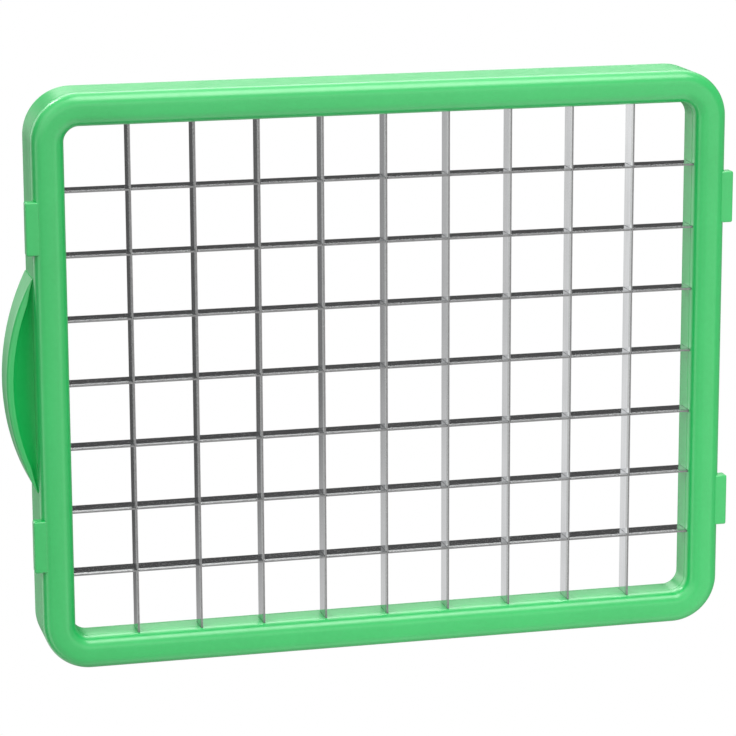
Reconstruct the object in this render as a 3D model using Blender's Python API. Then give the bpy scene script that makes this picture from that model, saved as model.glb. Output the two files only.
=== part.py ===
"""Cutting grid cassette of a manual vegetable dicer, standing upright on its lower long side.

Metres, +Z up, +X to the right of someone facing the cutting side, which looks along -Y. The origin is
the middle of the face it stands on, half way through the cassette's depth. Two green moulded frames
hold nine upright and seven level steel strips, half-lapped where they cross.
"""

import math

import bmesh
import bpy
from mathutils import Vector

# Grid of cells
CELL = 0.010
COLUMNS = 10
ROWS = 8

# Strip blades: their long front edge is the cutting edge
BLADE_THICKNESS = 0.0003
BLADE_DEPTH = 0.0038
BLADE_TAIL = 0.0018
EDGE_THICKNESS = 0.00012
EDGE_GRIND = 0.0007

# Both frames, in section
BAR_WIDTH = 0.0050
CASSETTE_DEPTH = 0.0108
CORNER_RADIUS = 0.0074
FRONT_FRAME_DEPTH = 0.00265
OUTER_FILLET = 0.0017
INNER_FILLET = 0.0010
SMALL_ROUND = 0.0003
BLADE_SET_BACK = 0.0018
STRAIGHT_WALL_DEPTH = 0.0068
SKIRT_WIDTH = 0.0022
FLARE_DEPTH = 0.0016

# Tongue on the rear frame, in a groove of the front frame
TONGUE_INSET = 0.0013
TONGUE_WIDTH = 0.0008
TONGUE_HEIGHT = 0.0008

# Locating lugs on the long sides of the front frame
LUG_REACH = 0.0012
LUG_HEIGHT = 0.0082
LUG_SPACING = 0.0496
LUG_SET_BACK = 0.0004
LUG_ROOT = 0.0009
LUG_ROUND = 0.00035

# Crescent finger grip on the left side of the rear frame
GRIP_LENGTH = 0.0340
GRIP_REACH = 0.0044
GRIP_ROOT = 0.0015
GRIP_RIM = 0.0010
SCOOP_DEPTH = 0.0024
GRIP_ROUND = 0.0005
GRIP_INSET = 0.0003
SCOOP_MARGIN = 0.0002

# Clearances
SEAM = 0.0003
SLOT_GAP = 0.0003
LAP_GAP = 0.0002

# Facets
ARC_STEPS = 8
CORNER_STEPS = 12
GRIP_STEPS = 128
OVERRUN = 0.002

# Where these put the main faces
OPENING_WIDTH = COLUMNS * CELL
OPENING_HEIGHT = ROWS * CELL
FRAME_WIDTH = OPENING_WIDTH + 2 * BAR_WIDTH
FRAME_HEIGHT = OPENING_HEIGHT + 2 * BAR_WIDTH
CENTRE_HEIGHT = FRAME_HEIGHT / 2
FRONT = -CASSETTE_DEPTH / 2
REAR = CASSETTE_DEPTH / 2
FRONT_FRAME_REAR = FRONT + FRONT_FRAME_DEPTH
REAR_FRAME_FRONT = FRONT_FRAME_REAR + SEAM
BLADE_FRONT = FRONT + BLADE_SET_BACK
BLADE_MIDDLE = BLADE_FRONT + BLADE_DEPTH / 2


def clear_scene():
    for found in list(bpy.data.objects):
        bpy.data.objects.remove(found, do_unlink=True)


def new_collection(name):
    made = bpy.data.collections.new(name)
    bpy.context.scene.collection.children.link(made)
    return made


def new_material(name, colour, roughness, metallic):
    made = bpy.data.materials.new(name)
    made.use_nodes = True
    shader = made.node_tree.nodes["Principled BSDF"]
    shader.inputs["Base Color"].default_value = (*colour, 1.0)
    shader.inputs["Roughness"].default_value = roughness
    shader.inputs["Metallic"].default_value = metallic
    made.diffuse_color = (*colour, 1.0)
    return made


def green_plastic(name):
    return new_material(name, (0.02, 0.42, 0.09), 0.32, 0.0)


def blade_steel(name):
    return new_material(name, (0.60, 0.61, 0.62), 0.25, 1.0)


def object_from(bm, name, collection):
    bmesh.ops.recalc_face_normals(bm, faces=bm.faces)
    mesh = bpy.data.meshes.new(name)
    bm.to_mesh(mesh)
    bm.free()
    made = bpy.data.objects.new(name, mesh)
    collection.objects.link(made)
    return made


def add_box(bm, low, high):
    """Adds an axis-aligned box between two corners to the mesh, and returns its vertices."""
    middle = [(a + b) / 2 for a, b in zip(low, high)]
    verts = bmesh.ops.create_cube(bm, size=1.0)["verts"]
    for vert in verts:
        vert.co = Vector([m + c * (b - a) for m, c, a, b in zip(middle, vert.co, low, high)])
    return verts


def as_cutter(obj):
    obj.hide_render = True
    obj.display_type = "WIRE"
    return obj


def add_boolean(obj, other, operation):
    modifier = obj.modifiers.new(f"{operation.lower()} {other.name}", "BOOLEAN")
    modifier.operation = operation
    modifier.solver = "EXACT"
    modifier.object = other


def arc_points(centre, radius, start, end, steps):
    """Points on an arc in a plane, ends included, angles in degrees."""
    points = []
    for step in range(steps + 1):
        angle = math.radians(start + (end - start) * step / steps)
        points.append((centre[0] + radius * math.cos(angle), centre[1] + radius * math.sin(angle)))
    return points


def poly_curve(name, points, collection):
    """A closed flat curve through the points."""
    data = bpy.data.curves.new(name, "CURVE")
    data.dimensions = "2D"
    spline = data.splines.new("POLY")
    spline.points.add(len(points) - 1)
    for point, place in zip(spline.points, points):
        point.co = (place[0], place[1], 0.0, 1.0)
    spline.use_cyclic_u = True
    made = bpy.data.objects.new(name, data)
    collection.objects.link(made)
    return made


def outline_points():
    """The cassette's outer outline, width across and height up, centred on zero."""
    x = FRAME_WIDTH / 2 - CORNER_RADIUS
    y = FRAME_HEIGHT / 2 - CORNER_RADIUS
    points = []
    for centre, start in (((x, y), 0), ((-x, y), 90), ((-x, -y), 180), ((x, -y), 270)):
        points += arc_points(centre, CORNER_RADIUS, start, start + 90, CORNER_STEPS)
    return points


def sweep_section(name, section, parts, cutters):
    """A ring: the section, given as (inset from the outline, depth along Y), swept round the outline."""
    path = poly_curve(name + "_path", outline_points(), cutters)
    profile = poly_curve(name + "_profile", section, cutters)
    path.data.bevel_mode = "OBJECT"
    path.data.bevel_object = profile
    path.data.fill_mode = "NONE"
    path.rotation_euler = (-math.pi / 2, 0, 0)
    path.location = (0, 0, CENTRE_HEIGHT)
    bpy.context.view_layer.update()
    evaluated = path.evaluated_get(bpy.context.evaluated_depsgraph_get())
    mesh = bpy.data.meshes.new_from_object(evaluated)
    mesh.transform(path.matrix_world)
    bpy.data.objects.remove(path)
    bpy.data.objects.remove(profile)
    bm = bmesh.new()
    bm.from_mesh(mesh)
    bpy.data.meshes.remove(mesh)
    bmesh.ops.remove_doubles(bm, verts=bm.verts, dist=1e-6)
    return object_from(bm, name, parts)


def front_section():
    """Section of the front frame: large outer fillet, smaller inner lip, groove in a flat back."""
    points = arc_points((OUTER_FILLET, FRONT + OUTER_FILLET), OUTER_FILLET, 180, 270, ARC_STEPS)
    lip = (BAR_WIDTH - INNER_FILLET, FRONT + INNER_FILLET)
    points += arc_points(lip, INNER_FILLET, 270, 360, ARC_STEPS)
    groove = FRONT_FRAME_REAR - TONGUE_HEIGHT - SEAM
    near = TONGUE_INSET - SEAM
    far = TONGUE_INSET + TONGUE_WIDTH + SEAM
    points += [(BAR_WIDTH, FRONT_FRAME_REAR), (far, FRONT_FRAME_REAR), (far, groove)]
    points += [(near, groove), (near, FRONT_FRAME_REAR), (0.0, FRONT_FRAME_REAR)]
    return points


def rear_section():
    """Section of the rear frame: tongue, straight walls, then an inner flare down to a thin skirt."""
    wall_end = FRONT + STRAIGHT_WALL_DEPTH
    tip = REAR_FRAME_FRONT - TONGUE_HEIGHT
    far = TONGUE_INSET + TONGUE_WIDTH
    points = [(0.0, REAR_FRAME_FRONT), (TONGUE_INSET, REAR_FRAME_FRONT), (TONGUE_INSET, tip)]
    points += [(far, tip), (far, REAR_FRAME_FRONT), (BAR_WIDTH, REAR_FRAME_FRONT), (BAR_WIDTH, wall_end)]
    points += [(SKIRT_WIDTH, wall_end + FLARE_DEPTH)]
    inner = (SKIRT_WIDTH - SMALL_ROUND, REAR - SMALL_ROUND)
    points += arc_points(inner, SMALL_ROUND, 0, 90, ARC_STEPS // 2)
    points += arc_points((SMALL_ROUND, REAR - SMALL_ROUND), SMALL_ROUND, 90, 180, ARC_STEPS // 2)
    return points


def upright_places():
    return [(index + 1 - COLUMNS / 2) * CELL for index in range(COLUMNS - 1)]


def level_places():
    return [CENTRE_HEIGHT + (index + 1 - ROWS / 2) * CELL for index in range(ROWS - 1)]


def slot_cutters(cutters):
    """Clearance boxes round the strips, one object for each set, so that no two boxes in one overlap."""
    half = BLADE_THICKNESS / 2 + SLOT_GAP
    near = BLADE_FRONT - SLOT_GAP
    far = BLADE_FRONT + BLADE_DEPTH + SLOT_GAP
    reach_x = OPENING_WIDTH / 2 + BLADE_TAIL + SLOT_GAP
    reach_z = OPENING_HEIGHT / 2 + BLADE_TAIL + SLOT_GAP
    upright = bmesh.new()
    for x in upright_places():
        low = (x - half, near, CENTRE_HEIGHT - reach_z)
        add_box(upright, low, (x + half, far, CENTRE_HEIGHT + reach_z))
    level = bmesh.new()
    for z in level_places():
        add_box(level, (-reach_x, near, z - half), (reach_x, far, z + half))
    return [
        as_cutter(object_from(upright, "upright_slots", cutters)),
        as_cutter(object_from(level, "level_slots", cutters)),
    ]


def bevelled(bm, verts, radius, segments):
    """Rounds every edge between the given vertices."""
    inside = set(verts)
    edges = [edge for edge in bm.edges if set(edge.verts) <= inside]
    bmesh.ops.bevel(
        bm, geom=edges, offset=radius, segments=segments, profile=0.5, affect="EDGES", clamp_overlap=True
    )


def lug_bodies(cutters):
    """The four locating lugs, rooted inside the bars of the front frame."""
    bm = bmesh.new()
    outer = FRAME_WIDTH / 2 + LUG_REACH
    inner = FRAME_WIDTH / 2 - LUG_ROOT
    for side in (-1, 1):
        for level in (-1, 1):
            z = CENTRE_HEIGHT + level * LUG_SPACING / 2
            across = sorted((side * inner, side * outer))
            low = (across[0], FRONT + LUG_SET_BACK, z - LUG_HEIGHT / 2)
            high = (across[1], FRONT_FRAME_REAR - LUG_SET_BACK / 2, z + LUG_HEIGHT / 2)
            bevelled(bm, add_box(bm, low, high), LUG_ROUND, 3)
    return as_cutter(object_from(bm, "lugs", cutters))


def front_frame(parts, cutters, slots, material):
    made = sweep_section("front_frame", front_section(), parts, cutters)
    add_boolean(made, lug_bodies(cutters), "UNION")
    for slot in slots:
        add_boolean(made, slot, "DIFFERENCE")
    made.data.materials.append(material)
    return made


def grip_body(cutters):
    """Crescent seen from the front: the part of a wide disc that stands out of the left side."""
    half = GRIP_LENGTH / 2
    radius = (half**2 + GRIP_REACH**2) / (2 * GRIP_REACH)
    centre_x = -FRAME_WIDTH / 2 - GRIP_REACH + radius
    near = REAR_FRAME_FRONT + GRIP_INSET
    depth = REAR - GRIP_INSET - near
    bm = bmesh.new()
    rim = bmesh.ops.create_circle(bm, cap_ends=True, radius=radius, segments=GRIP_STEPS * 2)
    bmesh.ops.rotate(bm, verts=rim["verts"], matrix=rotation_to_front())
    bmesh.ops.translate(bm, verts=rim["verts"], vec=(centre_x, near, CENTRE_HEIGHT))
    pushed = bmesh.ops.extrude_face_region(bm, geom=list(bm.faces))
    ends = [item for item in pushed["geom"] if isinstance(item, bmesh.types.BMVert)]
    bmesh.ops.translate(bm, verts=ends, vec=(0, depth, 0))
    rims = [edge for edge in bm.edges if abs(edge.verts[0].co.y - edge.verts[1].co.y) < depth / 2]
    bmesh.ops.bevel(bm, geom=rims, offset=GRIP_ROUND, segments=3, profile=0.5, affect="EDGES")
    disc = as_cutter(object_from(bm, "grip_disc", cutters))
    bm = bmesh.new()
    low = (-FRAME_WIDTH / 2 - GRIP_REACH - OVERRUN, REAR_FRAME_FRONT - OVERRUN, CENTRE_HEIGHT - half - OVERRUN)
    high = (-FRAME_WIDTH / 2 + GRIP_ROOT, REAR + OVERRUN, CENTRE_HEIGHT + half + OVERRUN)
    add_box(bm, low, high)
    body = object_from(bm, "grip_body", cutters)
    add_boolean(body, disc, "INTERSECT")
    return as_cutter(body)


def rotation_to_front():
    """Turns a circle drawn flat on the ground so that it faces the front."""
    return Vector((0, 0, 1)).rotation_difference(Vector((0, -1, 0))).to_matrix()


def scoop_cutter(cutters):
    """Dish in the front of the grip, leaving a rim along its outer edge."""
    bm = bmesh.new()
    bmesh.ops.create_uvsphere(bm, u_segments=32, v_segments=20, radius=1.0)
    size = (GRIP_REACH - GRIP_RIM, SCOOP_DEPTH, GRIP_LENGTH / 2 - GRIP_RIM * 2)
    bmesh.ops.scale(bm, vec=size, verts=bm.verts)
    bmesh.ops.translate(bm, vec=(-FRAME_WIDTH / 2, REAR_FRAME_FRONT + GRIP_INSET, CENTRE_HEIGHT), verts=bm.verts)
    sphere = as_cutter(object_from(bm, "scoop_sphere", cutters))
    bm = bmesh.new()
    low = (-FRAME_WIDTH / 2 - GRIP_REACH, REAR_FRAME_FRONT - SCOOP_DEPTH * 2, CENTRE_HEIGHT - GRIP_LENGTH)
    high = (-FRAME_WIDTH / 2 - SCOOP_MARGIN, REAR, CENTRE_HEIGHT + GRIP_LENGTH)
    add_box(bm, low, high)
    scoop = object_from(bm, "scoop", cutters)
    add_boolean(scoop, sphere, "INTERSECT")
    return as_cutter(scoop)


def rear_frame(parts, cutters, slots, material):
    made = sweep_section("rear_frame", rear_section(), parts, cutters)
    add_boolean(made, grip_body(cutters), "UNION")
    add_boolean(made, scoop_cutter(cutters), "DIFFERENCE")
    for slot in slots:
        add_boolean(made, slot, "DIFFERENCE")
    made.data.materials.append(material)
    return made


def strip(name, length, parts):
    """One strip along X, centred on zero, its ground cutting edge at the front."""
    half = BLADE_THICKNESS / 2
    edge = EDGE_THICKNESS / 2
    low = (-length / 2, BLADE_FRONT + EDGE_GRIND, -half)
    high = (length / 2, BLADE_FRONT + BLADE_DEPTH, half)
    bm = bmesh.new()
    verts = add_box(bm, low, high)
    front = [face for face in bm.faces if face.calc_center_median().y < low[1] + edge]
    pushed = bmesh.ops.extrude_face_region(bm, geom=front)
    bmesh.ops.delete(bm, geom=front, context="FACES")
    for vert in pushed["geom"]:
        if isinstance(vert, bmesh.types.BMVert) and vert not in verts:
            vert.co.y = BLADE_FRONT
            vert.co.z = math.copysign(edge, vert.co.z)
    return object_from(bm, name, parts)


def notches(name, places, near, far, cutters):
    """Lap notches through a strip along X, open at its front or its back."""
    half = BLADE_THICKNESS / 2 + LAP_GAP
    bm = bmesh.new()
    for place in places:
        add_box(bm, (place - half, near, -CELL / 4), (place + half, far, CELL / 4))
    return as_cutter(object_from(bm, name, cutters))


def blades(parts, cutters, material):
    """Nine upright strips notched from behind and seven level strips notched from the front."""
    front_part = (BLADE_FRONT - OVERRUN, BLADE_MIDDLE + LAP_GAP / 2)
    rear_part = (BLADE_MIDDLE - LAP_GAP / 2, BLADE_FRONT + BLADE_DEPTH + OVERRUN)
    across_upright = [z - CENTRE_HEIGHT for z in level_places()]
    for index, x in enumerate(upright_places()):
        made = strip(f"upright_blade_{index + 1}", OPENING_HEIGHT + 2 * BLADE_TAIL, parts)
        cutter = notches(f"upright_notches_{index + 1}", across_upright, *rear_part, cutters)
        place_strip(made, cutter, (x, 0, CENTRE_HEIGHT), (0, -math.pi / 2, 0), material)
    for index, z in enumerate(level_places()):
        made = strip(f"level_blade_{index + 1}", OPENING_WIDTH + 2 * BLADE_TAIL, parts)
        cutter = notches(f"level_notches_{index + 1}", upright_places(), *front_part, cutters)
        place_strip(made, cutter, (0, 0, z), (0, 0, 0), material)


def place_strip(made, cutter, location, rotation, material):
    for obj in (made, cutter):
        obj.location = location
        obj.rotation_euler = rotation
    add_boolean(made, cutter, "DIFFERENCE")
    made.data.materials.append(material)


def shade_curves(parts):
    """Smooth shading on the moulded frames, flat on the strips."""
    for obj in parts.objects:
        smooth = obj.name.endswith("frame")
        obj.data.polygons.foreach_set("use_smooth", [smooth] * len(obj.data.polygons))


def main():
    clear_scene()
    parts = new_collection("dicing_grid_cassette")
    cutters = new_collection("cutters")
    cutters.hide_render = True
    slots = slot_cutters(cutters)
    front_frame(parts, cutters, slots, green_plastic("green_front_plastic"))
    rear_frame(parts, cutters, slots, green_plastic("green_rear_plastic"))
    blades(parts, cutters, blade_steel("strip_steel"))
    shade_curves(parts)


main()
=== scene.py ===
"""Looks of the dicing grid cassette: rounded green mouldings and bright steel strips on a white sweep.

Metres, +Z up, front towards -Y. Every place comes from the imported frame, and each piece stands for one of
its nodes.
"""

import math

import bmesh
import bpy
from mathutils import Matrix, Vector


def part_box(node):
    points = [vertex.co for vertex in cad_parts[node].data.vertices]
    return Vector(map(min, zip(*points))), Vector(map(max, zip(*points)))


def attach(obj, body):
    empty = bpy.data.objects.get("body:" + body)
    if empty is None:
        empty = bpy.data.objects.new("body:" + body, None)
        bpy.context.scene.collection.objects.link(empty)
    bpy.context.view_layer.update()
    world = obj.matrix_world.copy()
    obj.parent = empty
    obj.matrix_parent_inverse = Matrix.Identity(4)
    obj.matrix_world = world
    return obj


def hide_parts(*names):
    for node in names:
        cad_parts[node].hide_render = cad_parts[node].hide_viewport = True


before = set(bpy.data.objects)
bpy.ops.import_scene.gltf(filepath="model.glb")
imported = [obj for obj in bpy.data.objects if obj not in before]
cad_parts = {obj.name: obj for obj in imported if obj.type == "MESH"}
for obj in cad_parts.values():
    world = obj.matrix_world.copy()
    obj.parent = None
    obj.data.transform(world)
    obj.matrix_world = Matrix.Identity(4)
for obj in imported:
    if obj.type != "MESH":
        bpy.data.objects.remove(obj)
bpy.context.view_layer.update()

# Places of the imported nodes
FRONT_LOW, FRONT_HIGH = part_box("front_frame")
REAR_LOW, REAR_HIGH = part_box("rear_frame")
HALF_WIDTH = REAR_HIGH.x
HEIGHT = REAR_HIGH.z
MIDDLE = HEIGHT / 2
FRONT = FRONT_LOW.y
REAR = REAR_HIGH.y
SEAM_PLANE = FRONT_HIGH.y
LUG_TIP = FRONT_HIGH.x
GRIP_REACH = -HALF_WIDTH - REAR_LOW.x
UPRIGHTS = sorted(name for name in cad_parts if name.startswith("upright_blade"))
LEVELS = sorted(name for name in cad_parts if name.startswith("level_blade"))
UPRIGHT_PLACES = [(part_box(name)[0].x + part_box(name)[1].x) / 2 for name in UPRIGHTS]
LEVEL_PLACES = [(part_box(name)[0].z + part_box(name)[1].z) / 2 for name in LEVELS]
BLADE_LOW, BLADE_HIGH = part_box(LEVELS[0])
BLADE_FRONT = BLADE_LOW.y
BLADE_REAR = BLADE_HIGH.y
BLADE_HALF = (BLADE_HIGH.z - BLADE_LOW.z) / 2
CELL = UPRIGHT_PLACES[1] - UPRIGHT_PLACES[0]
OPENING_HALF_WIDTH = UPRIGHT_PLACES[-1] + CELL
BAR = HALF_WIDTH - OPENING_HALF_WIDTH

# Mouldings
CORNER_RADIUS = 0.0074
OUTER_FILLET = 0.0018
LIP_FILLET = 0.0017
CROWN = 0.00018
SEAM_GAP = 0.00004
SEAM_EDGE = 0.00008
WALL_DEPTH = 0.0068
FLARE_DEPTH = 0.0016
SKIRT = 0.0022
SKIRT_ROUND = 0.0004
SLOT_GAP = 0.00003
CORNER_STEPS = 28
FILLET_STEPS = 12
FACE_STEPS = 6
SKIRT_STEPS = 5
SHARP_ANGLE = 28

# Locating lugs
LUG_HEIGHT = 0.0082
LUG_SPACING = 0.0496
LUG_SET_BACK = 0.0004
LUG_ROOT = 0.0009
LUG_ROUND = 0.0003
LUG_ROUND_STEPS = 4

# Finger grip: at each height its back round is a share of how far it stands out there, and its front round
# is no more than a share of that
GRIP_HALF = 0.0170
GRIP_TRIM = 0.985
GRIP_ROOT = 0.0015
GRIP_FRONT_ROUND = 0.0010
GRIP_FRONT_SHARE = 0.5
GRIP_BACK_SHARE = 0.4
GRIP_DISH = 0.0015
GRIP_INSET = 0.0003
GRIP_STATIONS = 56
GRIP_DISH_STEPS = 16
GRIP_FRONT_STEPS = 10
GRIP_BACK_STEPS = 6

# Strips
EDGE_BREAK = 0.00002
GROUND_BAND = 0.0008
NOTCH_GAP = 0.00004
LAP_GAP = 0.00005
OVERRUN = 0.002

# A strip's three materials, in the order of its slots, and how squarely a slit edge faces front or back
ROLLED_FACE, SLIT_EDGE, GROUND_FACE = range(3)
EDGE_FACING = 0.5

# Colours, linear
GREEN = (0.004, 0.43, 0.085)
GREEN_DEEP = (0.002, 0.39, 0.075)
GREEN_PALE = (0.02, 0.47, 0.115)
STEEL = (0.74, 0.75, 0.76)
STEEL_DARK = (0.64, 0.65, 0.66)
STEEL_PALE = (0.82, 0.83, 0.84)
EDGE_DARK = (0.17, 0.17, 0.17)
EDGE_PALE = (0.28, 0.28, 0.28)
GROUND_DARK = (0.34, 0.35, 0.35)
GROUND_PALE = (0.48, 0.49, 0.49)
WHITE = (1.0, 1.0, 1.0)

# Surfaces: noise scales in cycles per metre, roughness as (least, most), bumps as (strength, distance)
FLOW_SCALE = 60
SPECK_SCALE = 1400
SPECK_SHARE = 0.25
RUB_SCALES = (900, 900, 60)
SKIN_SCALE = 5200
SKIN_BUMP = (0.05, 0.000005)
SINK_SCALE = 120
SINK_BUMP = (0.05, 0.0003)
PLASTIC_ROUGHNESS = (0.28, 0.36)
PLASTIC_IOR = 1.5
PLASTIC_SPECULAR = 0.9
GRAIN_ACROSS = 9000
GRAIN_ALONG = 150
GRAIN_BUMP = (0.015, 0.00001)
STAIN_SCALE = 90
STREAK_SHARE = 0.6
STEEL_ROUGHNESS = (0.05, 0.10)
MARK_SCALE = 6000
MARK_BUMP = (0.1, 0.00001)
EDGE_ROUGHNESS = (0.45, 0.6)
GROUND_ROUGHNESS = (0.14, 0.22)

# Camera
AIM = Vector((-0.0035, FRONT, MIDDLE + 0.0006))
CAMERA_AZIMUTH = -13.92
CAMERA_ELEVATION = 12.87
CAMERA_ROLL = -0.21
CAMERA_DISTANCE = 0.5
LENS = 157.4
SENSOR = 36.0

# Floor: its paper's whiteness and its glow fade to the left, from the second of these X places to the first
FLOOR_HALF = 20.0
FLOOR_DROP = 0.0001
FLOOR_ROUGHNESS = 0.9
FLOOR_GLOW = 0.2
PAPER = (0.05, 0.55)
FADE_ENDS = (-0.09, -0.02)

# Softboxes: name, direction from the object, width and height, watts
SOFTBOX_DISTANCE = 0.85
SOFTBOXES = (
    ("overhead_softbox", (0.20, -0.20, 0.96), (0.50, 0.54), 4.2),
    ("rear_bank", (0.20, 0.87, 0.45), (0.60, 0.24), 1.4),
    ("rear_left_softbox", (-0.37, 0.66, 0.65), (0.18, 0.24), 1.8),
)

# Room round the object: (compass direction in degrees, brightness), where 0 is behind it, 90 towards +X
# and 180 in front. HORIZON is the room near eye level, TABLE what lies below it and DOME what is above.
FRONT_GLOW = 1.8
HORIZON = (
    (-165, 1.7), (-130, 1.6), (-104, 1.3), (-80, 0.2), (-60, 0.4), (-45, 0.8), (-30, 3.0), (-23, 2.8),
    (-20, 1.4), (-18.5, 0.76), (-15.5, 0.6), (-13.8, 0.22), (-12, 0.1), (0, 0.07), (20, 0.08),
    (55, 0.4), (95, 0.6), (135, 0.75), (158, 1.9),
)
TABLE_FRONT = 1.0
TABLE = (
    (-150, 1.2), (-130, 0.8), (-112, 1.4), (-98, 2.6), (-85, 0.3), (-60, 0.3), (-42, 1.2), (-26, 1.5),
    (-20, 0.9), (-9, 0.6), (60, 0.6), (140, 1.8), (160, 1.5), (172, 1.0),
)
DOME_FRONT = 1.1
DOME = (
    (-150, 1.5), (-120, 2.3), (-90, 1.3), (-60, 0.5), (-40, 0.5), (-10, 1.5), (45, 1.5), (80, 0.6),
    (140, 0.9),
)

# The table shows only below the horizon and below a tilted plane through the object, with soft edges
TABLE_PLANE = (0.547, 0.319, 0.774)
TABLE_BLUR = 0.03
TABLE_DROP = 0.026
TABLE_FADE = (-0.05, 0.05)

# The dome takes over between these two elevations, in degrees
DOME_START = 20
DOME_FULL = 34


# Mesh helpers


def new_object(name, bm):
    bmesh.ops.recalc_face_normals(bm, faces=bm.faces)
    mesh = bpy.data.meshes.new(name)
    bm.to_mesh(mesh)
    bm.free()
    made = bpy.data.objects.new(name, mesh)
    bpy.context.scene.collection.objects.link(made)
    return made


def add_box(bm, low, high):
    """Adds an axis-aligned box between two corners, and returns its vertices."""
    verts = bmesh.ops.create_cube(bm, size=1.0)["verts"]
    for vert in verts:
        vert.co = Vector([(a + b) / 2 + c * (b - a) for c, a, b in zip(vert.co, low, high)])
    return verts


def apply_boolean(target, cutter, operation):
    """Applies one Boolean to the target and removes the other object."""
    modifier = target.modifiers.new(operation, "BOOLEAN")
    modifier.operation = operation
    modifier.solver = "EXACT"
    modifier.object = cutter
    evaluated = target.evaluated_get(bpy.context.evaluated_depsgraph_get())
    mesh = bpy.data.meshes.new_from_object(evaluated)
    target.modifiers.clear()
    old = target.data
    target.data = mesh
    bpy.data.meshes.remove(old)
    bpy.data.objects.remove(cutter)


def smooth_moulding(obj):
    """Smooth shading with sharp edges past the angle, and normals weighted towards the large faces."""
    obj.data.shade_smooth()
    obj.data.set_sharp_from_angle(angle=math.radians(SHARP_ANGLE))
    weighted = obj.modifiers.new("weighted normals", "WEIGHTED_NORMAL")
    weighted.keep_sharp = True


def arc(steps):
    """Angles from nought to a right angle."""
    return [math.pi / 2 * step / steps for step in range(steps + 1)]


def quarter(centre, radius, start, steps):
    """Points on a quarter circle in the section's plane, from a start angle in degrees."""
    points = []
    for turned in arc(steps):
        angle = math.radians(start) + turned
        points.append((centre[0] + radius * math.cos(angle), centre[1] + radius * math.sin(angle)))
    return points


# Mouldings


def outline(inset):
    """The cassette's rounded outline, brought in by the inset, as (x, z) points round the frame."""
    radius = CORNER_RADIUS - inset
    across = HALF_WIDTH - CORNER_RADIUS
    up = MIDDLE - CORNER_RADIUS
    points = []
    for side_x, side_z, start in ((1, 1, 0), (-1, 1, 90), (-1, -1, 180), (1, -1, 270)):
        points += quarter((side_x * across, MIDDLE + side_z * up), radius, start, CORNER_STEPS)
    return points


def ring(name, section):
    """A closed ring: each section point is (inset from the outline, y)."""
    bm = bmesh.new()
    loops = []
    for inset, y in section:
        loops.append([bm.verts.new((x, y, z)) for x, z in outline(inset)])
    for index, loop in enumerate(loops):
        following = loops[(index + 1) % len(loops)]
        for here in range(len(loop)):
            there = (here + 1) % len(loop)
            bm.faces.new((loop[here], loop[there], following[there], following[here]))
    return new_object(name, bm)


def crowned(point):
    """Sets a point of the front face back a little towards the bar's two edges."""
    inset, y = point
    across = 2 * inset / BAR - 1
    return inset, y + CROWN * across * across


def bezel_section():
    """Section of the front frame: rounded outer edge, crowned face, rounded lip, flat back at the seam."""
    outer = quarter((OUTER_FILLET, FRONT + OUTER_FILLET), OUTER_FILLET, 180, FILLET_STEPS)
    lip = quarter((BAR - LIP_FILLET, FRONT + LIP_FILLET), LIP_FILLET, 270, FILLET_STEPS)
    stride = (BAR - OUTER_FILLET - LIP_FILLET) / FACE_STEPS
    face = [(OUTER_FILLET + stride * step, FRONT) for step in range(1, FACE_STEPS)]
    points = [crowned(point) for point in outer + face + lip]
    points += [(BAR, SEAM_PLANE - SEAM_EDGE), (BAR - SEAM_EDGE, SEAM_PLANE)]
    points += [(SEAM_EDGE, SEAM_PLANE), (0.0, SEAM_PLANE - SEAM_EDGE)]
    return points


def rear_section():
    """Section of the rear frame: straight walls, then an inner flare down to a thin rounded skirt."""
    top = SEAM_PLANE + SEAM_GAP
    wall_end = FRONT + WALL_DEPTH
    rim = REAR - SKIRT_ROUND
    points = [(0.0, top + SEAM_EDGE), (SEAM_EDGE, top), (BAR - SEAM_EDGE, top), (BAR, top + SEAM_EDGE)]
    points += [(BAR, wall_end - SKIRT_ROUND), (BAR - SKIRT_ROUND / 2, wall_end)]
    points += [(SKIRT, wall_end + FLARE_DEPTH)]
    points += quarter((SKIRT - SKIRT_ROUND, rim), SKIRT_ROUND, 0, SKIRT_STEPS)
    points += quarter((SKIRT_ROUND, rim), SKIRT_ROUND, 90, SKIRT_STEPS)
    return points


def cut_slots(target):
    """Cuts tight seats for the strips."""
    near = BLADE_FRONT - SLOT_GAP
    far = BLADE_REAR + SLOT_GAP
    half = BLADE_HALF + SLOT_GAP
    reach_x = BLADE_HIGH.x + SLOT_GAP
    low_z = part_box(UPRIGHTS[0])[0].z - SLOT_GAP
    upright = bmesh.new()
    for x in UPRIGHT_PLACES:
        add_box(upright, (x - half, near, low_z), (x + half, far, HEIGHT - low_z))
    apply_boolean(target, new_object("upright_slots", upright), "DIFFERENCE")
    level = bmesh.new()
    for z in LEVEL_PLACES:
        add_box(level, (-reach_x, near, z - half), (reach_x, far, z + half))
    apply_boolean(target, new_object("level_slots", level), "DIFFERENCE")


def lugs():
    """The four locating lugs, rooted in the bars, with rounded edges."""
    bm = bmesh.new()
    near = FRONT + LUG_SET_BACK
    far = SEAM_PLANE - LUG_SET_BACK / 2
    for side in (-1, 1):
        inner, outer = sorted((side * (HALF_WIDTH - LUG_ROOT), side * LUG_TIP))
        for level in (-1, 1):
            z = MIDDLE + level * LUG_SPACING / 2
            corners = set(add_box(bm, (inner, near, z - LUG_HEIGHT / 2), (outer, far, z + LUG_HEIGHT / 2)))
            edges = [edge for edge in bm.edges if edge.verts[0] in corners]
            bmesh.ops.bevel(
                bm, geom=edges, offset=LUG_ROUND, segments=LUG_ROUND_STEPS, profile=0.5, affect="EDGES"
            )
    return new_object("lugs", bm)


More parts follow.
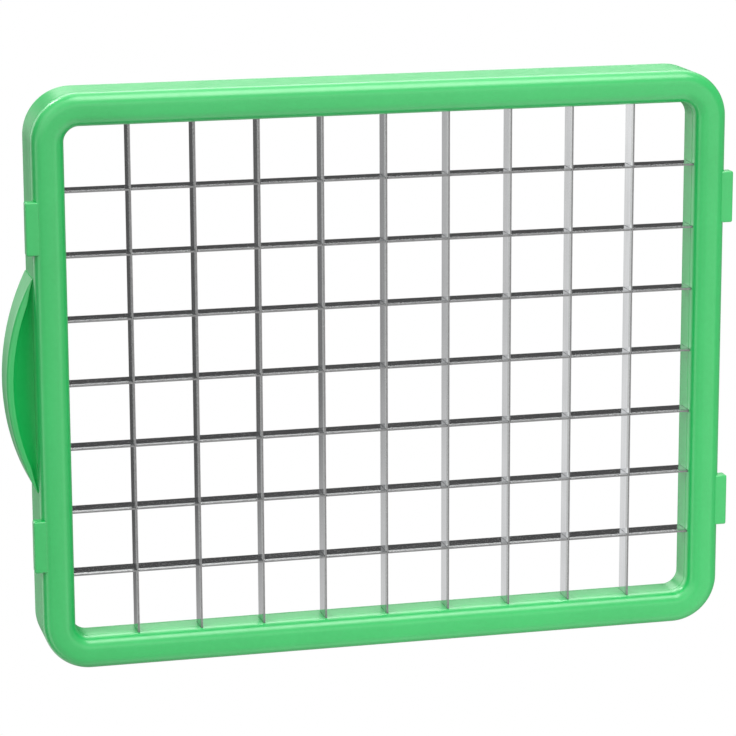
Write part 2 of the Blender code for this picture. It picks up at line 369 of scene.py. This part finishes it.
def grip_section(reach):
    """Section of the grip at one height, as (distance out from the wall, y): dished front, rounded rim."""
    near = SEAM_PLANE + GRIP_INSET
    far = REAR - GRIP_INSET
    front_round = min(GRIP_FRONT_ROUND, reach * GRIP_FRONT_SHARE)
    back_round = reach * GRIP_BACK_SHARE
    dish = GRIP_DISH * reach / GRIP_REACH
    points = [(-GRIP_ROOT, near + dish)]
    for step in range(GRIP_DISH_STEPS + 1):
        along = step / GRIP_DISH_STEPS
        points.append(((reach - front_round) * along, near + dish * (1 - along * along)))
    for angle in arc(GRIP_FRONT_STEPS)[1:]:
        out = reach - front_round + front_round * math.sin(angle)
        points.append((out, near + front_round - front_round * math.cos(angle)))
    points += quarter((reach - back_round, far - back_round), back_round, 0, GRIP_BACK_STEPS)
    points.append((-GRIP_ROOT, far))
    return points


def grip():
    """The crescent grip, lofted through sections up its height."""
    radius = (GRIP_HALF**2 + GRIP_REACH**2) / (2 * GRIP_REACH)
    bm = bmesh.new()
    rows = []
    for station in range(GRIP_STATIONS + 1):
        angle = math.pi * (station / GRIP_STATIONS - 0.5)
        rise = GRIP_HALF * GRIP_TRIM * math.sin(angle)
        out = math.sqrt(radius**2 - rise**2) - (radius - GRIP_REACH)
        section = grip_section(out)
        rows.append([bm.verts.new((-HALF_WIDTH - x, y, MIDDLE + rise)) for x, y in section])
    for lower, upper in zip(rows, rows[1:]):
        for here in range(len(lower)):
            there = (here + 1) % len(lower)
            bm.faces.new((lower[here], lower[there], upper[there], upper[here]))
    bm.faces.new(rows[0])
    bm.faces.new(rows[-1])
    return new_object("grip", bm)


def make_bezel():
    made = ring("bezel", bezel_section())
    apply_boolean(made, lugs(), "UNION")
    cut_slots(made)
    smooth_moulding(made)
    return made


def make_rear_body():
    made = ring("rear_body", rear_section())
    apply_boolean(made, grip(), "UNION")
    cut_slots(made)
    smooth_moulding(made)
    return made


# Strips


def strip(name, length):
    """One strip along X, with lightly broken edges and a ground band that tapers a little to the front."""
    bm = bmesh.new()
    side = BLADE_HALF - EDGE_BREAK
    section = [
        (BLADE_REAR, -side),
        (BLADE_REAR - EDGE_BREAK, -BLADE_HALF),
        (BLADE_FRONT + GROUND_BAND, -BLADE_HALF),
        (BLADE_FRONT, -side),
        (BLADE_FRONT, side),
        (BLADE_FRONT + GROUND_BAND, BLADE_HALF),
        (BLADE_REAR - EDGE_BREAK, BLADE_HALF),
        (BLADE_REAR, side),
    ]
    face = bm.faces.new([bm.verts.new((-length / 2, y, z)) for y, z in section])
    pushed = bmesh.ops.extrude_face_region(bm, geom=[face])
    ends = [item for item in pushed["geom"] if isinstance(item, bmesh.types.BMVert)]
    bmesh.ops.translate(bm, verts=ends, vec=(length, 0, 0))
    return new_object(name, bm)


def cut_notches(target, places, near, far):
    """Cuts lap notches through a strip along X, between two depths."""
    half = BLADE_HALF + NOTCH_GAP
    bm = bmesh.new()
    for place in places:
        add_box(bm, (place - half, near, -CELL / 4), (place + half, far, CELL / 4))
    apply_boolean(target, new_object("notches", bm), "DIFFERENCE")


def make_strips():
    """Both sets of strips, half-lapped: upright ones notched from behind, level ones from the front."""
    lap = (BLADE_FRONT + BLADE_REAR) / 2
    made = []
    for name, x in zip(UPRIGHTS, UPRIGHT_PLACES):
        low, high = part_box(name)
        blade = strip("steel_" + name, high.z - low.z)
        cut_notches(blade, [z - MIDDLE for z in LEVEL_PLACES], lap - LAP_GAP, BLADE_REAR + OVERRUN)
        blade.data.transform(Matrix.Translation((x, 0, MIDDLE)) @ Matrix.Rotation(-math.pi / 2, 4, "Y"))
        made.append((blade, name))
    for name, z in zip(LEVELS, LEVEL_PLACES):
        low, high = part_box(name)
        blade = strip("steel_" + name, high.x - low.x)
        cut_notches(blade, UPRIGHT_PLACES, BLADE_FRONT - OVERRUN, lap + LAP_GAP)
        blade.data.transform(Matrix.Translation((0, 0, z)))
        made.append((blade, name))
    return made


def part_of_strip(face):
    """Which of the strip's three materials a face wears."""
    if abs(face.normal.y) > EDGE_FACING:
        return SLIT_EDGE
    return GROUND_FACE if face.center.y < BLADE_FRONT + GROUND_BAND else ROLLED_FACE


# Materials


class Nodes:
    """Short ways to add and join shader nodes in one tree."""

    def __init__(self, tree):
        self.tree = tree
        tree.nodes.clear()

    def add(self, kind, **settings):
        made = self.tree.nodes.new(kind)
        for key, value in settings.items():
            setattr(made, key, value)
        return made

    def link(self, source, target):
        self.tree.links.new(source, target)

    def place(self):
        """Coordinates on the object, in metres."""
        return self.add("ShaderNodeTexCoord").outputs["Object"]

    def noise(self, coordinates, scale, detail):
        made = self.add("ShaderNodeTexNoise")
        made.inputs["Scale"].default_value = scale
        made.inputs["Detail"].default_value = detail
        made.inputs["Roughness"].default_value = 0.55
        self.link(coordinates, made.inputs["Vector"])
        return made.outputs["Fac"]

    def mapped(self, coordinates, setting, values):
        """Coordinates scaled or moved: the setting is Scale or Location."""
        made = self.add("ShaderNodeMapping")
        made.inputs[setting].default_value = values
        self.link(coordinates, made.inputs["Vector"])
        return made.outputs["Vector"]

    def remap(self, value, low, high, to_low, to_high):
        made = self.add("ShaderNodeMapRange")
        made.inputs["From Min"].default_value = low
        made.inputs["From Max"].default_value = high
        made.inputs["To Min"].default_value = to_low
        made.inputs["To Max"].default_value = to_high
        self.link(value, made.inputs["Value"])
        return made.outputs["Result"]

    def maths(self, operation, *values):
        made = self.add("ShaderNodeMath", operation=operation)
        for value, socket in zip(values, made.inputs):
            self.link(value, socket)
        return made.outputs[0]

    def mix_colour(self, factor, first, second):
        made = self.add("ShaderNodeMix", data_type="RGBA")
        self.link(factor, made.inputs["Factor"])
        for socket, colour in ((made.inputs["A"], first), (made.inputs["B"], second)):
            if isinstance(colour, tuple):
                socket.default_value = (*colour, 1.0)
            else:
                self.link(colour, socket)
        return made.outputs["Result"]

    def bump(self, height, strength, distance, normal=None):
        made = self.add("ShaderNodeBump")
        made.inputs["Strength"].default_value = strength
        made.inputs["Distance"].default_value = distance
        self.link(height, made.inputs["Height"])
        if normal:
            self.link(normal, made.inputs["Normal"])
        return made.outputs["Normal"]

    def principled(self, colour, roughness, normal, metallic):
        """A Principled shader on the material's surface."""
        shader = self.add("ShaderNodeBsdfPrincipled")
        shader.inputs["Metallic"].default_value = metallic
        self.link(colour, shader.inputs["Base Color"])
        self.link(roughness, shader.inputs["Roughness"])
        self.link(normal, shader.inputs["Normal"])
        self.surface(shader)
        return shader

    def surface(self, shader):
        output = self.add("ShaderNodeOutputMaterial")
        self.link(shader.outputs[0], output.inputs["Surface"])


def new_material(name):
    made = bpy.data.materials.new(name)
    made.use_nodes = True
    return made, Nodes(made.node_tree)


def green_plastic(name, seed):
    """Moulded plastic: flow marks and specks in the colour, uneven gloss, fine skin and shallow sinks."""
    made, nodes = new_material(name)
    place = nodes.mapped(nodes.place(), "Location", (seed, seed, seed))
    flow = nodes.remap(nodes.noise(place, FLOW_SCALE, 4), 0.3, 0.7, 0, 1)
    speck = nodes.remap(nodes.noise(place, SPECK_SCALE, 2), 0.35, 0.75, 0, SPECK_SHARE)
    colour = nodes.mix_colour(flow, GREEN_DEEP, GREEN)
    colour = nodes.mix_colour(speck, colour, GREEN_PALE)
    rub = nodes.noise(nodes.mapped(place, "Scale", RUB_SCALES), 1, 2)
    roughness = nodes.remap(rub, 0.3, 0.75, *PLASTIC_ROUGHNESS)
    skin = nodes.bump(nodes.noise(place, SKIN_SCALE, 2), *SKIN_BUMP)
    sink = nodes.bump(nodes.noise(place, SINK_SCALE, 2), *SINK_BUMP, skin)
    shader = nodes.principled(colour, roughness, sink, 0.0)
    shader.inputs["IOR"].default_value = PLASTIC_IOR
    shader.inputs["Specular IOR Level"].default_value = PLASTIC_SPECULAR
    return made


def strip_steel(name, along):
    """Bright rolled stainless strip: faint stains, and fine grain along one axis, given by its number."""
    made, nodes = new_material(name)
    place = nodes.place()
    scales = [GRAIN_ACROSS] * 3
    scales[along] = GRAIN_ALONG
    grain = nodes.noise(nodes.mapped(place, "Scale", scales), 1, 3)
    stain = nodes.remap(nodes.noise(place, STAIN_SCALE, 3), 0.35, 0.7, 0, 1)
    colour = nodes.mix_colour(stain, STEEL_DARK, STEEL)
    streak = nodes.remap(grain, 0.4, 0.75, 0, STREAK_SHARE)
    colour = nodes.mix_colour(streak, colour, STEEL_PALE)
    roughness = nodes.remap(grain, 0.3, 0.7, *STEEL_ROUGHNESS)
    nodes.principled(colour, roughness, nodes.bump(grain, *GRAIN_BUMP), 1.0)
    return made


def worked_steel(name, dark, pale, roughness_range):
    """The strips' slit edges and ground bands: duller and darker than the rolled faces, with tool marks."""
    made, nodes = new_material(name)
    marks = nodes.noise(nodes.place(), MARK_SCALE, 3)
    colour = nodes.mix_colour(nodes.remap(marks, 0.35, 0.7, 0, 1), dark, pale)
    roughness = nodes.remap(marks, 0.3, 0.7, *roughness_range)
    nodes.principled(colour, roughness, nodes.bump(marks, *MARK_BUMP), 1.0)
    return made


# Studio


def floor_material():
    """A white sweep, burnt out for the camera; the light it gives the object fades to the left."""
    made, nodes = new_material("white_sweep")
    shader = nodes.add("ShaderNodeBsdfPrincipled")
    shader.inputs["Roughness"].default_value = FLOOR_ROUGHNESS
    shader.inputs["Specular IOR Level"].default_value = 0.0
    shader.inputs["Emission Color"].default_value = (*WHITE, 1.0)
    split = nodes.add("ShaderNodeSeparateXYZ")
    nodes.link(nodes.place(), split.inputs[0])
    across = split.outputs["X"]
    nodes.link(nodes.remap(across, *FADE_ENDS, 0.0, FLOOR_GLOW), shader.inputs["Emission Strength"])
    nodes.link(nodes.remap(across, *FADE_ENDS, *PAPER), shader.inputs["Base Color"])
    burnt_out = nodes.add("ShaderNodeEmission")
    burnt_out.inputs["Strength"].default_value = 1.0
    joined = nodes.add("ShaderNodeMixShader")
    nodes.link(nodes.add("ShaderNodeLightPath").outputs["Is Camera Ray"], joined.inputs[0])
    nodes.link(shader.outputs[0], joined.inputs[1])
    nodes.link(burnt_out.outputs[0], joined.inputs[2])
    nodes.surface(joined)
    return made


def compass_ramp(nodes, share, stops, front):
    """Brightness by compass direction; the ramp's two ends, both straight in front, share one value."""
    ramp = nodes.add("ShaderNodeValToRGB")
    elements = ramp.color_ramp.elements
    for degrees, brightness in stops:
        stop = elements.new((degrees + 180) / 360)
        stop.color = (brightness, brightness, brightness, 1.0)
    for end in (elements[0], elements[-1]):
        end.color = (front, front, front, 1.0)
    nodes.link(share, ramp.inputs["Fac"])
    return ramp.outputs["Color"]


def room_share(nodes, direction, height):
    """One where a direction meets the room, nought where it meets the table below the object."""
    above = nodes.add("ShaderNodeVectorMath", operation="DOT_PRODUCT")
    nodes.link(direction, above.inputs[0])
    above.inputs[1].default_value = TABLE_PLANE
    starts = -TABLE_BLUR - TABLE_DROP
    ends = TABLE_BLUR - TABLE_DROP
    above_plane = nodes.remap(above.outputs["Value"], starts, ends, 0, 1)
    above_horizon = nodes.remap(height, *TABLE_FADE, 0, 1)
    return nodes.maths("MAXIMUM", above_plane, above_horizon)


def make_world():
    """The studio round the object, white for the camera: room, table below it and dome above."""
    world = bpy.data.worlds.new("studio")
    world.use_nodes = True
    bpy.context.scene.world = world
    nodes = Nodes(world.node_tree)
    direction = nodes.add("ShaderNodeTexCoord").outputs["Generated"]
    split = nodes.add("ShaderNodeSeparateXYZ")
    nodes.link(direction, split.inputs[0])
    height = split.outputs["Z"]
    compass = nodes.maths("ARCTAN2", split.outputs["X"], split.outputs["Y"])
    share = nodes.remap(compass, -math.pi, math.pi, 0, 1)
    room = compass_ramp(nodes, share, HORIZON, FRONT_GLOW)
    table = compass_ramp(nodes, share, TABLE, TABLE_FRONT)
    dome = compass_ramp(nodes, share, DOME, DOME_FRONT)
    low = nodes.mix_colour(room_share(nodes, direction, height), table, room)
    elevation = nodes.maths("ARCSINE", height)
    dome_share = nodes.remap(elevation, math.radians(DOME_START), math.radians(DOME_FULL), 0, 1)
    light = nodes.mix_colour(dome_share, low, dome)
    seen = nodes.add("ShaderNodeLightPath").outputs["Is Camera Ray"]
    background = nodes.add("ShaderNodeBackground")
    nodes.link(nodes.mix_colour(seen, light, WHITE), background.inputs["Color"])
    output = nodes.add("ShaderNodeOutputWorld")
    nodes.link(background.outputs[0], output.inputs["Surface"])


def make_floor():
    """The sweep, which no piece mirrors: in reflections the world's table stands in for it."""
    bm = bmesh.new()
    bmesh.ops.create_grid(bm, x_segments=1, y_segments=1, size=FLOOR_HALF)
    bmesh.ops.translate(bm, verts=bm.verts, vec=(0, 0, -FLOOR_DROP))
    floor = new_object("floor", bm)
    floor.data.materials.append(floor_material())
    floor.visible_glossy = False


def softbox(name, towards, size, power):
    """An area light facing the object: size is its width and its height."""
    data = bpy.data.lights.new(name, "AREA")
    data.shape = "RECTANGLE"
    data.size, data.size_y = size
    data.energy = power
    made = bpy.data.objects.new(name, data)
    direction = Vector(towards).normalized()
    made.location = AIM + direction * SOFTBOX_DISTANCE
    made.rotation_mode = "QUATERNION"
    made.rotation_quaternion = direction.to_track_quat("Z", "Y")
    made.visible_camera = False
    bpy.context.scene.collection.objects.link(made)


def make_camera():
    azimuth = math.radians(CAMERA_AZIMUTH)
    elevation = math.radians(CAMERA_ELEVATION)
    level = math.cos(elevation)
    back = Vector((math.sin(azimuth) * level, -math.cos(azimuth) * level, math.sin(elevation)))
    data = bpy.data.cameras.new("camera")
    data.lens = LENS
    data.sensor_width = SENSOR
    data.clip_start = CAMERA_DISTANCE / 50
    data.clip_end = FLOOR_HALF * 4
    camera = bpy.data.objects.new("camera", data)
    camera.location = AIM + back * CAMERA_DISTANCE
    camera.rotation_mode = "QUATERNION"
    roll = Matrix.Rotation(math.radians(CAMERA_ROLL), 3, "Z").to_quaternion()
    camera.rotation_quaternion = (-back).to_track_quat("-Z", "Y") @ roll
    bpy.context.scene.collection.objects.link(camera)
    bpy.context.scene.camera = camera


def dress(piece, materials, node):
    """Gives a piece its materials and puts it in the place of its node."""
    piece.data.materials.clear()
    for material in materials:
        piece.data.materials.append(material)
    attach(piece, "root")
    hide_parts(node)


def dress_strips():
    """Each strip's grain runs along it: axis 2 on the upright strips, axis 0 on the level ones."""
    upright_steel = strip_steel("upright_strip_steel", 2)
    level_steel = strip_steel("level_strip_steel", 0)
    edge_steel = worked_steel("slit_edge_steel", EDGE_DARK, EDGE_PALE, EDGE_ROUGHNESS)
    ground_steel = worked_steel("ground_band_steel", GROUND_DARK, GROUND_PALE, GROUND_ROUGHNESS)
    for blade, node in make_strips():
        rolled_steel = upright_steel if node in UPRIGHTS else level_steel
        dress(blade, [rolled_steel, edge_steel, ground_steel], node)
        for face in blade.data.polygons:
            face.material_index = part_of_strip(face)


def main():
    bpy.context.scene.view_settings.view_transform = "Standard"
    dress(make_bezel(), [green_plastic("green_bezel_plastic", 0.0)], "front_frame")
    dress(make_rear_body(), [green_plastic("green_body_plastic", 0.7)], "rear_frame")
    dress_strips()
    make_world()
    make_floor()
    for name, towards, size, power in SOFTBOXES:
        softbox(name, towards, size, power)
    make_camera()


main()
